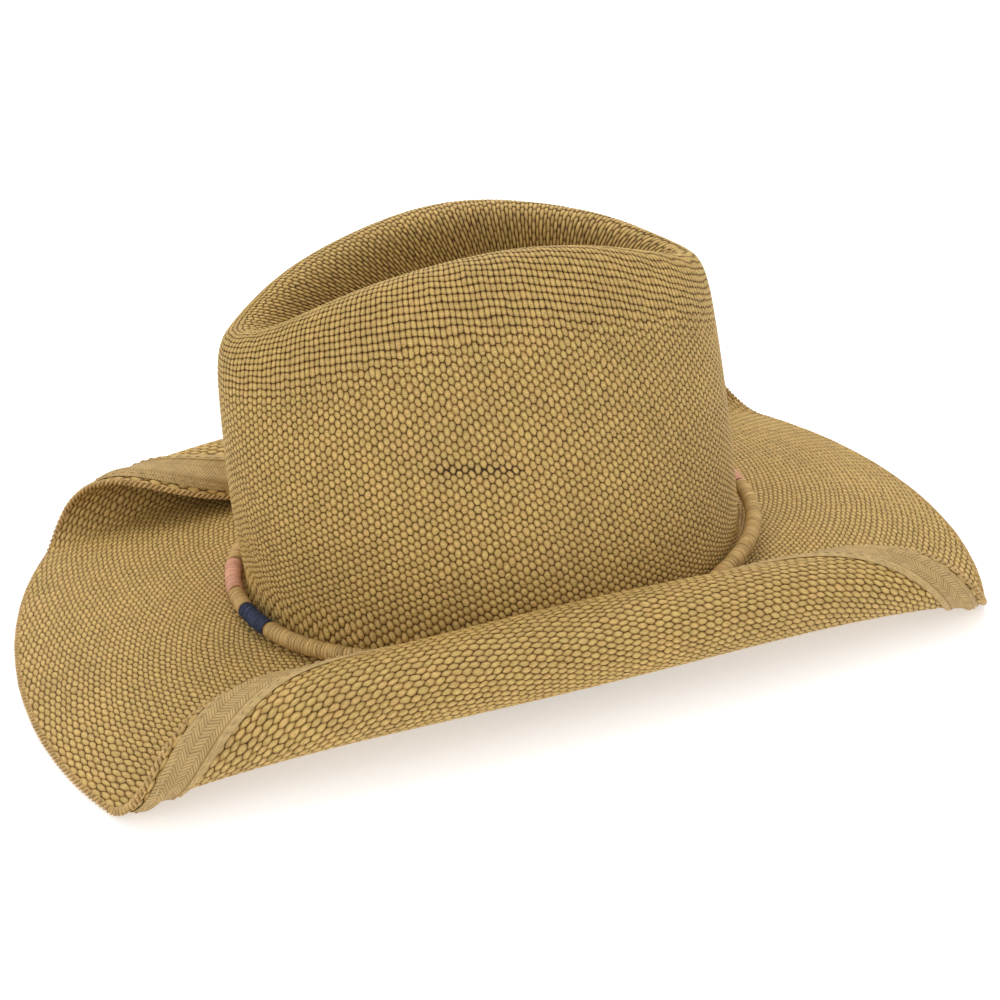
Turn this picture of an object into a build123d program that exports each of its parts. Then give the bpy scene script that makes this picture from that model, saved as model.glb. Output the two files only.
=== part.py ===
from build123d import *
import os
import numpy as np

# Woven straw western hat. X runs across the hat, Y from its front (-Y) to its back and
# Z is up. Lengths are millimetres and angles are degrees. Angles round the hat start at
# the front, pass +X at 90 and reach the back at 180.

# Crown: an oval foot and two ridges with a teardrop crease between them
FOOT_HALF_LENGTH = 105.0
FOOT_HALF_WIDTH = 83.5
FOOT_FLARE = 8.5
RIDGE_HALF_LENGTH = 91.0
RIDGE_HALF_WIDTH = 31.0
RIDGE_CENTRE_Y = -8.5
RIDGE_TEARDROP = 0.11
RIDGE_ROUND = 9.0
RIDGE_DROP_OUTSIDE = 0.9
RIDGE_DROP_INSIDE = 0.35
RIDGE_STAND_OUT = 0.25
HEIGHT_FRONT = 118.0
HEIGHT_SIDE = 144.5
HEIGHT_BACK = 122.5
CREASE_HEIGHT = 98.5
CREASE_CENTRE_Y = 19.0
CREASE_SPREAD = 0.67
CREASE_LIFT = 0.35
WALL_BULGE = 2.5
WALL_PARTS = (0.3, 0.55, 0.8)
FLARE_TOE = 0.45
FOOT_HEIGHTS = (2.0, 9.0)
LEVEL_FROM = 0.86
TIP_LEVEL = 0.975
TIP_RING = 0.985

# Height of the crown's foot above the surface the hat rests on
FOOT_LIFT = 14.2

# Brim: its width before it was rolled, the two side rolls, and the droop at the ends
BRIM_FRONT = 94.0
BRIM_SIDE = 89.5
BRIM_BACK = 98.0
BRIM_CORNER_FRONT = 12.0
BRIM_CORNER_BACK = 7.0
ROLL_START = 96.0
ROLL_START_FRONT = -4.7
ROLL_START_BACK = -3.4
ROLL_RADIUS = 13.9
ROLL_RADIUS_FRONT = 1.0
ROLL_RADIUS_BACK = 0.8
ROLL_RAMP = 11.5
SIDE_SLOPE = 0.355
SLOPE_RUN = 21.0
DROOP = 12.0
DROOP_START = 26.0
DROOP_FADE_FROM = 0.0
DROOP_FADE_TO = 0.84

# Woven sheet and its selvedge, and the tape and wire sewn under the brim's edge
SHEET_THICK = 1.8
SELVEDGE_DIA = 3.5
TAPE_INSET = 3.9
TAPE_WIDTH = 13.0
TAPE_THICK = 0.8
TAPE_SIDE_GAP = 0.1
WIRE_DIA = 1.1
WIRE_INSET = 7.5
WIRE_RISE = 1.25
WIRE_RISE_SPREAD = 2.0
SLEEVE_LENGTH = 14.0
SLEEVE_DIA = 1.8
SLEEVE_BORE = 1.4
SLEEVE_RISE = 1.95
SLEEVE_RISE_ANGLE = 4.0
TAPE_THREAD_MARGIN = 1.6
THREAD_WIDTH = 0.6
THREAD_THICK = 0.3
THREAD_GAP = 0.05

# Sweatband inside the crown's foot
SWEATBAND_LOW = 3.0
SWEATBAND_HIGH = 33.0
SWEATBAND_GAP = 0.4
SWEATBAND_THICK = 1.0
SEAM_PATCH_DEGREES = 4
SEAM_PATCH_THICK = 0.6
SEAM_PATCH_GAP = 0.1
SEAM_PATCH_MARGIN_LOW = 2.0
SEAM_PATCH_MARGIN_HIGH = 1.0
SWEATBAND_STITCH_HEIGHT = 5.0

# Wrapped cord round the crown's foot. It rises towards the back by its tilt, its core's
# ends butt at the front, and each wrap has a name, a first angle and a last angle
BAND_HEIGHT = 4.6
BAND_TILT = 1.9
BAND_REACH = 5.5
BAND_END_ROUND = 1.05
CORE_BUTT_ANGLE = 0.2
BAND_CORE_DIA = 5.4
BAND_WRAP_BORE = 5.5
BAND_WRAP_DIA = 7.5
BAND_WRAPS = (
    ("band_wrap_pink_front", -19.0, -2.0),
    ("band_wrap_natural_front", -1.8, 8.4),
    ("band_wrap_navy_front", 8.6, 22.5),
    ("band_wrap_natural_left", 22.7, 173.8),
    ("band_wrap_pink_back", 174.0, 191.0),
    ("band_wrap_natural_back", 191.2, 200.8),
    ("band_wrap_navy_back", 201.0, 215.0),
    ("band_wrap_natural_right", 215.2, 340.8),
)
TACK_ANGLES = (80.0, 225.0, 300.0)
TACK_DIA = 0.7
TACK_FROM = -30.0
TACK_TO = 120.0

# How finely the curved skins are sampled before a smooth surface is laid through them
BRIM_ROWS = 34
CROWN_ROWS = 50
SHEET_COLUMNS = 73
TAPE_ROWS = 14
TAPE_COLUMNS = 109
STRAND_COLUMNS = 145
STRAND_ROWS = 13
STRAND_FLAT_ANGLE = 12.0
WALL_COLUMNS = 49
ROLL_STEPS = 48
FIT_TOLERANCE = 0.02
UP = np.array([0.0, 0.0, 1.0])


def smooth(low, high, value):
    """Rise from 0 at low to 1 at high with level ends."""
    t = np.clip((value - low) / (high - low), 0.0, 1.0)
    return t * t * (3.0 - 2.0 * t)


def unit(vectors):
    """The vectors at length 1."""
    return vectors / np.linalg.norm(vectors, axis=-1, keepdims=True)


def between(front, side, back, angle):
    """A size that varies from front through side to back."""
    cosine = np.cos(angle)
    ends = (front + back) / 2 * cosine**2 + (front - back) / 2 * cosine
    return side * np.sin(angle) ** 2 + ends


def foot_oval(angle):
    """The crown's foot: points on the oval, and the directions straight out of it."""
    zero = np.zeros_like(angle)
    sine, cosine = np.sin(angle), np.cos(angle)
    points = np.stack([FOOT_HALF_WIDTH * sine, -FOOT_HALF_LENGTH * cosine, zero], -1)
    outward = np.stack([sine / FOOT_HALF_WIDTH, -cosine / FOOT_HALF_LENGTH, zero], -1)
    return points, unit(outward)


def spline_weights(count, at):
    """Weights of a clamped cubic B-spline with count control points."""
    at = np.clip(at, 0.0, 1.0 - 1e-9)
    inner = np.linspace(0.0, 1.0, count - 2)
    knots = np.concatenate([np.zeros(3), inner, np.ones(3)])
    weights = [((at >= a) & (at < b)).astype(float) for a, b in zip(knots, knots[1:])]
    for degree in (1, 2, 3):
        raised = []
        for i in range(len(weights) - 1):
            total = np.zeros_like(at)
            left = knots[i + degree] - knots[i]
            right = knots[i + degree + 1] - knots[i + 1]
            if left > 0:
                total += (at - knots[i]) / left * weights[i]
            if right > 0:
                total += (knots[i + degree + 1] - at) / right * weights[i + 1]
            raised.append(total)
        weights = raised
    return np.stack(weights, -1)


def crown_controls(angle):
    """Control points of the crown's profile, from its foot over a ridge to the crease."""
    foot, outward = foot_oval(angle)
    sine, cosine = np.sin(angle), np.cos(angle)
    height = between(HEIGHT_FRONT, HEIGHT_SIDE, HEIGHT_BACK, angle)
    half_width = RIDGE_HALF_WIDTH * (1.0 - RIDGE_TEARDROP * cosine)
    ridge_y = RIDGE_CENTRE_Y - RIDGE_HALF_LENGTH * cosine
    ridge = np.stack([half_width * sine, ridge_y, height], -1)
    flat = np.zeros_like(angle)
    away = unit(np.stack([sine / half_width, -cosine / RIDGE_HALF_LENGTH, flat], -1))
    outer_shoulder = ridge + away * RIDGE_ROUND - UP * RIDGE_ROUND * RIDGE_DROP_OUTSIDE
    inner_shoulder = np.stack([
        (half_width - RIDGE_ROUND) * sine,
        RIDGE_CENTRE_Y - (RIDGE_HALF_LENGTH - RIDGE_ROUND) * cosine,
        height - RIDGE_ROUND * RIDGE_DROP_INSIDE,
    ], -1)
    centre = np.array([0.0, CREASE_CENTRE_Y, CREASE_HEIGHT])
    floor = centre + (ridge - centre) * [CREASE_SPREAD, CREASE_SPREAD, CREASE_LIFT]
    controls = [foot + outward * FOOT_FLARE, foot + outward * FOOT_FLARE * FLARE_TOE]
    controls += [foot + UP * above for above in FOOT_HEIGHTS]
    for part in WALL_PARTS:
        bulge = WALL_BULGE * 4.0 * part * (1.0 - part)
        controls.append(foot + (outer_shoulder - foot) * part + outward * bulge)
    crest = ridge + away * RIDGE_ROUND * RIDGE_STAND_OUT + UP
    controls += [outer_shoulder, crest, inner_shoulder]
    controls += [(inner_shoulder + floor) / 2, floor, (floor + centre) / 2]
    controls.append(np.broadcast_to(centre, ridge.shape))
    return np.stack(controls)


def crown_grid(angle, at):
    """Crown points, one row for each place along the profile: 0 foot, 1 crease centre."""
    controls = crown_controls(angle)
    grid = np.einsum("rk,kcd->rcd", spline_weights(len(controls), at), controls)
    level = smooth(TIP_LEVEL, LEVEL_FROM, at)[:, None]
    grid[..., 2] = CREASE_HEIGHT + (grid[..., 2] - CREASE_HEIGHT) * level
    return grid


def rolled(flat_x, flat_y):
    """Distance from the centre line and height of a brim point after rolling."""
    flat_half = FOOT_HALF_WIDTH + FOOT_FLARE
    ahead = (flat_y / 100.0) ** 2
    front = flat_y < 0
    start = ROLL_START + np.where(front, ROLL_START_FRONT, ROLL_START_BACK) * ahead
    radius = ROLL_RADIUS + np.where(front, ROLL_RADIUS_FRONT, ROLL_RADIUS_BACK) * ahead
    run = np.maximum(flat_x - flat_half, 0.0)
    along = flat_half + run[..., None] * np.linspace(0.0, 1.0, ROLL_STEPS + 1)
    past = along - start[..., None]
    easing = np.maximum(past, 0.0) ** 2 / (2 * ROLL_RAMP)
    bend = np.where(past < ROLL_RAMP, easing, past - ROLL_RAMP / 2)
    slope = SIDE_SLOPE * np.clip((along - flat_half) / SLOPE_RUN, 0.0, 1.0)
    turn = bend / radius[..., None] + slope
    middle = (turn[..., 1:] + turn[..., :-1]) / 2
    step = run / ROLL_STEPS
    out = np.minimum(flat_x, flat_half) + np.cos(middle).sum(-1) * step
    return out, np.sin(middle).sum(-1) * step


def brim_width(angle):
    """Width of the flat brim beyond the crown's foot."""
    corner = np.where(np.cos(angle) > 0, BRIM_CORNER_FRONT, BRIM_CORNER_BACK)
    return between(BRIM_FRONT, BRIM_SIDE, BRIM_BACK, angle) + corner * np.sin(2 * angle) ** 2


def brim_points(angle, reach):
    """Top of the brim at reach beyond the crown's foot."""
    foot, outward = foot_oval(angle)
    flat = foot + outward * reach[..., None]
    out, height = rolled(np.abs(flat[..., 0]), flat[..., 1])
    part = np.clip((reach - DROOP_START) / (brim_width(angle) - DROOP_START), 0.0, 1.0)
    droop = DROOP * smooth(DROOP_FADE_FROM, DROOP_FADE_TO, np.abs(np.cos(angle))) * part**2
    return np.stack([np.sign(flat[..., 0]) * out, flat[..., 1], height - droop], -1)


def brim_frame(angle, reach):
    """Brim points with the direction towards the edge and the direction out of its top."""
    along = brim_points(angle + 1e-4, reach) - brim_points(angle - 1e-4, reach)
    outward = unit(brim_points(angle, reach + 0.05) - brim_points(angle, reach - 0.05))
    upward = unit(np.cross(outward, along))
    return brim_points(angle, reach), outward, upward


def half_turn(count, margin=0):
    """Angles from front to back on one side, with margin extra ones past both ends."""
    step = np.pi / (count - 1)
    return np.arange(-margin, count + margin) * step


def sheet_skins(count):
    """Top and bottom skins of the woven sheet, from the brim's edge to the crease."""
    angle = half_turn(count, 2)
    edge = brim_width(angle) - SELVEDGE_DIA
    part = np.linspace(0.0, 1.0, BRIM_ROWS)[:, None]
    reach = edge + (FOOT_FLARE - edge) * part
    brim = brim_points(np.broadcast_to(angle, reach.shape), reach)
    crown = crown_grid(angle, np.linspace(0.0, TIP_RING, CROWN_ROWS))
    top = np.concatenate([brim, crown[1:]])
    across = np.gradient(top, axis=0)
    along = np.gradient(top, axis=1)
    normal = unit(np.cross(along, across))
    normal[-1] = UP
    bottom = top - normal * SHEET_THICK
    return on_one_side(top[:, 2:-2]), on_one_side(bottom[:, 2:-2])


def on_one_side(grid):
    """Put the first and last columns exactly on the hat's centre plane."""
    grid = grid.copy()
    grid[:, 0, 0] = 0.0
    grid[:, -1, 0] = 0.0
    return grid


def skin(grid):
    """A smooth face through a grid of points."""
    rows = [[Vector(*map(float, point)) for point in row] for row in grid]
    return Face.make_surface_from_array_of_points(rows, tol=FIT_TOLERANCE, min_deg=1, max_deg=3)


def long_edges(face):
    """The two edges that run from front to back, the outer one first."""
    edges = [edge for edge in face.edges() if edge.bounding_box().size.X > 0.01]
    return sorted(edges, key=lambda edge: -edge.length)


def closed_from(faces):
    """One solid from the faces of one half and their mirror images."""
    both = list(faces) + [face.mirror(Plane.YZ) for face in faces]
    return Solid(Shell(both))


def strip_solid(top, bottom, capped=False):
    """A strip between two skins that goes all the way round the hat."""
    upper, lower = skin(top), skin(bottom)
    upper_edges, lower_edges = long_edges(upper), long_edges(lower)
    faces = [upper, lower, Face.make_surface_from_curves(upper_edges[0], lower_edges[0])]
    if capped:
        caps = [cap(upper_edges[1]), cap(lower_edges[1])]
        return Solid(Shell(faces + [face.mirror(Plane.YZ) for face in faces] + caps))
    faces.append(Face.make_surface_from_curves(upper_edges[1], lower_edges[1]))
    return closed_from(faces)


def cap(edge):
    """The flat face inside a half loop and its mirror image."""
    return Face(Wire([edge, edge.mirror(Plane.YZ)]))


def edge_strip(count, insets, depths):
    """Rows that follow the brim's edge, each at an inset from it and a depth below it."""
    angle = half_turn(count)
    rows = []
    for inset, depth in zip(insets, depths):
        reach = brim_width(angle) - inset
        points, _, upward = brim_frame(angle, reach)
        rows.append(points - upward * np.broadcast_to(depth, angle.shape)[:, None])
    return on_one_side(np.stack(rows))


def edge_tube(count, inset, depth, radius):
    """A round strand along the brim's edge, with a narrow flat on each side."""
    angle = half_turn(count)
    centre, outward, upward = brim_frame(angle, brim_width(angle) - inset)
    centre = centre - upward * np.broadcast_to(depth, angle.shape)[:, None]
    turned = np.linspace(STRAND_FLAT_ANGLE, 180.0 - STRAND_FLAT_ANGLE, STRAND_ROWS)
    strand_turn = np.radians(turned)
    halves = []
    for side in (1.0, -1.0):
        rows = []
        for theta in strand_turn * side:
            rows.append(centre + radius * (np.cos(theta) * outward + np.sin(theta) * upward))
        halves.append(on_one_side(np.stack(rows)))
    return strip_solid(halves[0], halves[1])


def wire_rise(angle):
    """How far the tape stands off the sheet over the wire, and more over its sleeve."""
    near_sleeve = smooth(SLEEVE_RISE_ANGLE * 2, SLEEVE_RISE_ANGLE, 180.0 - np.degrees(angle))
    return WIRE_RISE + (SLEEVE_RISE - WIRE_RISE) * near_sleeve


def tape_depths(count, insets, extra):
    """Depths of the tape below the top of the sheet, over the wire and beside it."""
    angle = half_turn(count)
    depths = []
    for inset in insets:
        hump = np.exp(-(((inset - WIRE_INSET) / WIRE_RISE_SPREAD) ** 2))
        depths.append(SHEET_THICK + TAPE_SIDE_GAP + wire_rise(angle) * hump + extra)
    return depths


def woven_body():
    """The crown and brim, woven as one sheet."""
    top, bottom = sheet_skins(SHEET_COLUMNS)
    return strip_solid(top, bottom, capped=True)


def selvedge_cord():
    """The twisted edge that closes the weave all round the brim."""
    inset = SELVEDGE_DIA / 2 - 0.1
    return edge_tube(STRAND_COLUMNS, inset, SHEET_THICK / 2, SELVEDGE_DIA / 2)


def layer_under_brim(insets, start, thick):
    """A strip under the brim that follows the wire's hump, from a depth on the tape's top."""
    top = edge_strip(TAPE_COLUMNS, insets, tape_depths(TAPE_COLUMNS, insets, start))
    bottom = edge_strip(TAPE_COLUMNS, insets, tape_depths(TAPE_COLUMNS, insets, start + thick))
    return strip_solid(top, bottom)


def edge_tape():
    """The tape that covers the wire under the brim's edge."""
    insets = TAPE_INSET + np.linspace(0.0, 1.0, TAPE_ROWS) * TAPE_WIDTH
    return layer_under_brim(insets, 0.0, TAPE_THICK)


def tape_thread(inset):
    """A row of thread on the underside of the tape."""
    insets = inset + np.linspace(-0.5, 0.5, 3) * THREAD_WIDTH
    return layer_under_brim(insets, TAPE_THICK + THREAD_GAP, THREAD_THICK)


def brim_wire():
    """The wire inside the tape that keeps the brim's shape."""
    depth = SHEET_THICK + TAPE_SIDE_GAP + wire_rise(half_turn(STRAND_COLUMNS)) / 2
    return edge_tube(STRAND_COLUMNS, WIRE_INSET, depth, WIRE_DIA / 2)


def wire_sleeve():
    """The crimp tube over the wire's two ends at the back of the brim."""
    back = np.array([np.pi])
    centre, _, upward = brim_frame(back, brim_width(back) - WIRE_INSET)
    depth = SHEET_THICK + TAPE_SIDE_GAP + SLEEVE_RISE / 2
    place = (centre - upward * depth)[0]
    ring = Circle(SLEEVE_DIA / 2) - Circle(SLEEVE_BORE / 2)
    tube = extrude(Plane.YZ * ring, amount=SLEEVE_LENGTH / 2, both=True)
    return Pos(0.0, float(place[1]), float(place[2])) * tube


def wall_rows(count, heights, depth):
    """Rows round the inside of the crown's wall, at heights and at a depth under its skin."""
    angle = half_turn(count, 2)
    grid = crown_grid(angle, np.linspace(0.02, 0.6, 120))
    normal = unit(np.cross(np.gradient(grid, axis=1), np.gradient(grid, axis=0)))
    inner = grid - normal * depth
    rows = np.empty((len(heights), len(angle), 3))
    for column in range(len(angle)):
        for axis in (0, 1):
            rows[:, column, axis] = np.interp(heights, inner[:, column, 2], inner[:, column, axis])
        rows[:, column, 2] = heights
    return on_one_side(rows[:, 2:-2])


def layer_in_crown(heights, near, thick):
    """A strip inside the crown's foot, from a depth under the wall's outer skin."""
    outer = wall_rows(WALL_COLUMNS, heights, near)
    inner = wall_rows(WALL_COLUMNS, heights, near + thick)
    return strip_solid(outer, inner)


def sweatband():
    """The ribbon that lines the crown's foot."""
    heights = np.linspace(SWEATBAND_LOW, SWEATBAND_HIGH, 9)
    near = SHEET_THICK + SWEATBAND_GAP
    return layer_in_crown(heights, near, SWEATBAND_THICK)


def sweatband_thread():
    """The row of thread that sews the sweatband in."""
    half = THREAD_WIDTH / 2
    heights = SWEATBAND_STITCH_HEIGHT + np.linspace(-half, half, 3)
    near = SHEET_THICK + SWEATBAND_GAP + SWEATBAND_THICK + THREAD_GAP
    return layer_in_crown(heights, near, THREAD_THICK)


def sweatband_seam_patch():
    """The patch over the sweatband's butted ends, at the back."""
    low = SWEATBAND_STITCH_HEIGHT + SEAM_PATCH_MARGIN_LOW
    heights = np.linspace(low, SWEATBAND_HIGH - SEAM_PATCH_MARGIN_HIGH, 5)
    near = SHEET_THICK + SWEATBAND_GAP + SWEATBAND_THICK + SEAM_PATCH_GAP
    each_degree = 181
    outer = wall_rows(each_degree, heights, near)
    inner = wall_rows(each_degree, heights, near + SEAM_PATCH_THICK)
    count = SEAM_PATCH_DEGREES + 1
    return patch_solid(outer[:, -count:], inner[:, -count:])


def patch_solid(outer, inner):
    """A patch between two skins whose last columns lie on the hat's centre plane."""
    upper, lower = skin(outer), skin(inner)
    faces = [upper, lower]
    for first, second in zip(rim_edges(upper), rim_edges(lower)):
        faces.append(Face.make_surface_from_curves(first, second))
    return closed_from(faces)


def rim_edges(face):
    """The edges of a patch that don't lie on the hat's centre plane."""
    free = [edge for edge in face.edges() if edge.bounding_box().max.X > 0.01]
    return sorted(free, key=lambda edge: (round(edge.center().Z, 1), edge.center().X))


def band_arcs():
    """The closed oval of the wrapped cord, as four tangent arcs: centre, radius, angles."""
    long_half = FOOT_HALF_LENGTH + BAND_REACH
    wide_half = FOOT_HALF_WIDTH + BAND_REACH
    end_radius = wide_half**2 / long_half * BAND_END_ROUND
    end_y = long_half - end_radius
    side_radius = (wide_half**2 + end_y**2 - end_radius**2) / (2 * (wide_half - end_radius))
    side_x = side_radius - wide_half
    split = float(np.degrees(np.arctan2(side_x, end_y)))
    return [
        ((0.0, -end_y), end_radius, -split, split),
        ((-side_x, 0.0), side_radius, split, 180.0 - split),
        ((0.0, end_y), end_radius, 180.0 - split, 180.0 + split),
        ((side_x, 0.0), side_radius, 180.0 + split, 360.0 - split),
        ((0.0, -end_y), end_radius, 360.0 - split, 360.0 + split),
    ]


def band_piece(profile, start, end):
    """The profile carried along the cord's oval from one angle round the hat to another."""
    pieces = []
    for (x, y), radius, low, high in band_arcs():
        first, last = max(start, low), min(end, high)
        if last - first < 0.01:
            continue
        arc = CenterArc((x, y), radius, first - 90.0, last - first)
        arc = Pos(0, 0, BAND_HEIGHT) * arc
        pieces.append(sweep(Plane(arc @ 0, z_dir=arc % 0) * profile, path=arc))
    solid = pieces[0]
    for piece in pieces[1:]:
        solid = solid + piece
    return solid


def band_place(angle):
    """Centre of the cord at an angle round the hat, and the direction out from the crown."""
    for (x, y), radius, low, high in band_arcs():
        if low <= angle <= high:
            turn = np.radians(angle - 90.0)
            out = Vector(float(np.cos(turn)), float(np.sin(turn)), 0.0)
            return Vector(x, y, BAND_HEIGHT) + out * radius, out
    raise ValueError("angle outside one turn")


def band_tacks():
    """Loops of thread that hold the cord against the crown's foot."""
    loops = []
    reach = BAND_WRAP_DIA / 2 + TACK_DIA / 2 + 0.05
    for angle in TACK_ANGLES:
        centre, out = band_place(angle)
        plane = Plane(centre, x_dir=out, z_dir=out.cross(Vector(0, 0, 1)))
        arc = plane * CenterArc((0, 0), reach, TACK_FROM, TACK_TO - TACK_FROM)
        loops.append(sweep(Plane(arc @ 0, z_dir=arc % 0) * Circle(TACK_DIA / 2), path=arc))
    return Compound(children=loops)


def build():
    """Every piece by name."""
    ring = Circle(BAND_WRAP_DIA / 2) - Circle(BAND_WRAP_BORE / 2)
    pieces = {
        "woven_body": woven_body(),
        "selvedge_cord": selvedge_cord(),
        "edge_tape": edge_tape(),
        "edge_tape_thread_outer": tape_thread(TAPE_INSET + TAPE_THREAD_MARGIN),
        "edge_tape_thread_inner": tape_thread(TAPE_INSET + TAPE_WIDTH - TAPE_THREAD_MARGIN),
        "brim_wire": brim_wire(),
        "wire_sleeve": wire_sleeve(),
        "sweatband": sweatband(),
        "sweatband_thread": sweatband_thread(),
        "sweatband_seam_patch": sweatband_seam_patch(),
        "band_core": band_piece(
            Circle(BAND_CORE_DIA / 2), CORE_BUTT_ANGLE, 360.0 - CORE_BUTT_ANGLE
        ),
        "band_tacks": band_tacks(),
    }
    for name, start, end in BAND_WRAPS:
        pieces[name] = band_piece(ring, start, end)
    return pieces


def main():
    """Stands the hat on its brim, tilts its band about the front and writes every piece."""
    os.makedirs("parts", exist_ok=True)
    shift = Pos(0.0, (BRIM_FRONT - BRIM_BACK) / 2, FOOT_LIFT)
    pivot = Pos(0.0, -FOOT_HALF_LENGTH - BAND_REACH, BAND_HEIGHT)
    tilt = pivot * Rot(BAND_TILT, 0.0, 0.0) * pivot.inverse()
    for name, piece in build().items():
        place = shift * tilt if name.startswith("band_") else shift
        export_step(place * piece, os.path.join("parts", name + ".step"))


main()
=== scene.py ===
import math

import bpy
import numpy as np
from mathutils import Matrix, Vector


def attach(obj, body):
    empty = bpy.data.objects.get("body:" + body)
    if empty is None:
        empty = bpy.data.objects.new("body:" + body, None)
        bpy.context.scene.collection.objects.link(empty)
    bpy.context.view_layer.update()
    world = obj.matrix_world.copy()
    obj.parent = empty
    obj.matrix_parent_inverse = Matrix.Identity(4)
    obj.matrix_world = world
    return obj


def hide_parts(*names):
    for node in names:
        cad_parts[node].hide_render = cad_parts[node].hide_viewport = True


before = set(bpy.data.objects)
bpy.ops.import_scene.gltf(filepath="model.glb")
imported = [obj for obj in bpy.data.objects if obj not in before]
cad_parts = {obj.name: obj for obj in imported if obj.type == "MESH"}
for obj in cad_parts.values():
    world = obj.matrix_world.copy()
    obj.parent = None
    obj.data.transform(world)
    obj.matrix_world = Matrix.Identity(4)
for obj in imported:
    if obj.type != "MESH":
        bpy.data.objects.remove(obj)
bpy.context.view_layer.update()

# A woven straw western hat. X runs across the hat, Y from its front (-Y) to its back and
# Z is up. The hat's own formulas work in millimetres, with angle 0 at the front and 90
# degrees at +X; MM and SHIFT bring their points to the frame's metres.
MM = 0.001

# Crown, as in the CAD part
FOOT_HALF_LENGTH = 105.0
FOOT_HALF_WIDTH = 83.5
FOOT_FLARE = 8.5
RIDGE_HALF_LENGTH = 91.0
RIDGE_HALF_WIDTH = 31.0
RIDGE_CENTRE_Y = -8.5
RIDGE_TEARDROP = 0.11
RIDGE_ROUND = 9.0
RIDGE_DROP_OUTSIDE = 0.9
RIDGE_DROP_INSIDE = 0.35
RIDGE_STAND_OUT = 0.25
HEIGHT_FRONT = 118.0
HEIGHT_SIDE = 144.5
HEIGHT_BACK = 122.5
CREASE_HEIGHT = 98.5
CREASE_CENTRE_Y = 19.0
CREASE_SPREAD = 0.67
CREASE_LIFT = 0.35
WALL_BULGE = 2.5
WALL_PARTS = (0.3, 0.55, 0.8)
FLARE_TOE = 0.45
FOOT_HEIGHTS = (2.0, 9.0)
LEVEL_FROM = 0.86
TIP_LEVEL = 0.975
TIP_RING = 0.985
FOOT_LIFT = 14.2

# Brim, as in the CAD part
BRIM_FRONT = 94.0
BRIM_SIDE = 89.5
BRIM_BACK = 98.0
BRIM_CORNER_FRONT = 12.0
BRIM_CORNER_BACK = 7.0
ROLL_START = 96.0
ROLL_START_FRONT = -4.7
ROLL_START_BACK = -3.4
ROLL_RADIUS = 13.9
ROLL_RADIUS_FRONT = 1.0
ROLL_RADIUS_BACK = 0.8
ROLL_RAMP = 11.5
ROLL_STEPS = 48
SIDE_SLOPE = 0.355
SLOPE_RUN = 21.0
DROOP = 12.0
DROOP_START = 26.0
DROOP_FADE_TO = 0.84
EDGE_STEP = 0.05
TURN_STEP = 1e-4
SHEET_THICK = 1.8
SELVEDGE_DIA = 3.5
TAPE_INSET = 3.9
TAPE_WIDTH = 13.0
TAPE_THICK = 0.8
TAPE_GAP = 0.1
WIRE_INSET = 7.5
WIRE_RISE = 1.25
WIRE_RISE_SPREAD = 2.0
SLEEVE_RISE = 1.95
SLEEVE_RISE_ANGLE = 4.0
STITCH_MARGIN = 1.6

# Sweatband and hat band, as in the CAD part
SWEATBAND_LOW = 3.0
SWEATBAND_HIGH = 33.0
SWEATBAND_GAP = 0.4
SWEATBAND_THICK = 1.0
SWEATBAND_STITCH_HEIGHT = 5.0
BAND_HEIGHT = 4.6
BAND_TILT = math.radians(1.9)
BAND_REACH = 5.5
BAND_END_ROUND = 1.05
BAND_WRAP_RADIUS = 3.35

SHIFT = np.array([0.0, (BRIM_FRONT - BRIM_BACK) / 2, FOOT_LIFT])

# The weave: columns that run from the crease to the brim's edge, each a chain of short
# floats. PER_COLUMN and PER_FLOAT are points across a column and along a float. At an
# EVENNESS of 1 all columns are equally wide. The straw stops SHEET_END short of the edge.
CROWN_COLUMNS = 240
BRIM_COLUMNS = 284
PER_COLUMN = 4
PER_FLOAT = 4
EVENNESS = 0.8
BRIM_FLOATS = 38
SHEET_END = 2.0
# Length of a float, in millimetres, at places along the crown's profile
FLOAT_AT = (0.0, 0.12, 0.30, 0.42, 0.55, 0.62, 0.74, 1.0)
FLOAT_LENGTH = (2.1, 2.4, 3.0, 3.4, 2.6, 2.3, 4.4, 4.4)
# How pointed the floats are on the brim, the wall, the upper wall and in the crease
POINTED_BRIM = 1.4
POINTED_WALL = 1.2
POINTED_UPPER = 1.05
POINTED_CREASE = 0.6
# How many floats the rows climb from the front of the crown's wall to its side
ROWS_LEAN = 5.5
# In the crease every other column lies a little lower and reads narrower
CREASE_BIAS = 0.06
# How far the straw rises above the gaps: a share of its column's width, a limit in
# millimetres, and the share of that rise that is below the sheet's own skin
RELIEF_SHARE = 0.24
RELIEF_MOST = 0.62
RELIEF_LEVEL = 0.62
# Unevenness of single floats, in columns and in floats, and of the whole skin in millimetres
JITTER_ACROSS = 0.10
JITTER_ALONG = 0.13
JITTER_HEIGHT = 0.22
DENTS = 0.45
# Places along the crown's profile where the upper wall and the crease begin and are whole
UPPER_FROM, UPPER_TO = 0.44, 0.52
CREASE_FROM, CREASE_TO = 0.62, 0.74
UP = np.array([0.0, 0.0, 1.0])
random = np.random.default_rng(11)


def smooth(low, high, value):
    """Rise from 0 at low to 1 at high with level ends. It falls if high is below low."""
    t = np.clip((value - low) / (high - low), 0.0, 1.0)
    return t * t * (3.0 - 2.0 * t)


def unit(vectors):
    """The vectors at length 1."""
    return vectors / np.maximum(np.linalg.norm(vectors, axis=-1, keepdims=True), 1e-9)


def around(count):
    """Angles of count even steps round a circle."""
    return np.arange(count) * 2 * np.pi / count


def arc_lengths(points):
    """Running length of a closed line of points."""
    step = np.linalg.norm(np.roll(points, -1, 0) - points, axis=1)
    return np.concatenate([[0.0], np.cumsum(step)])


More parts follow.
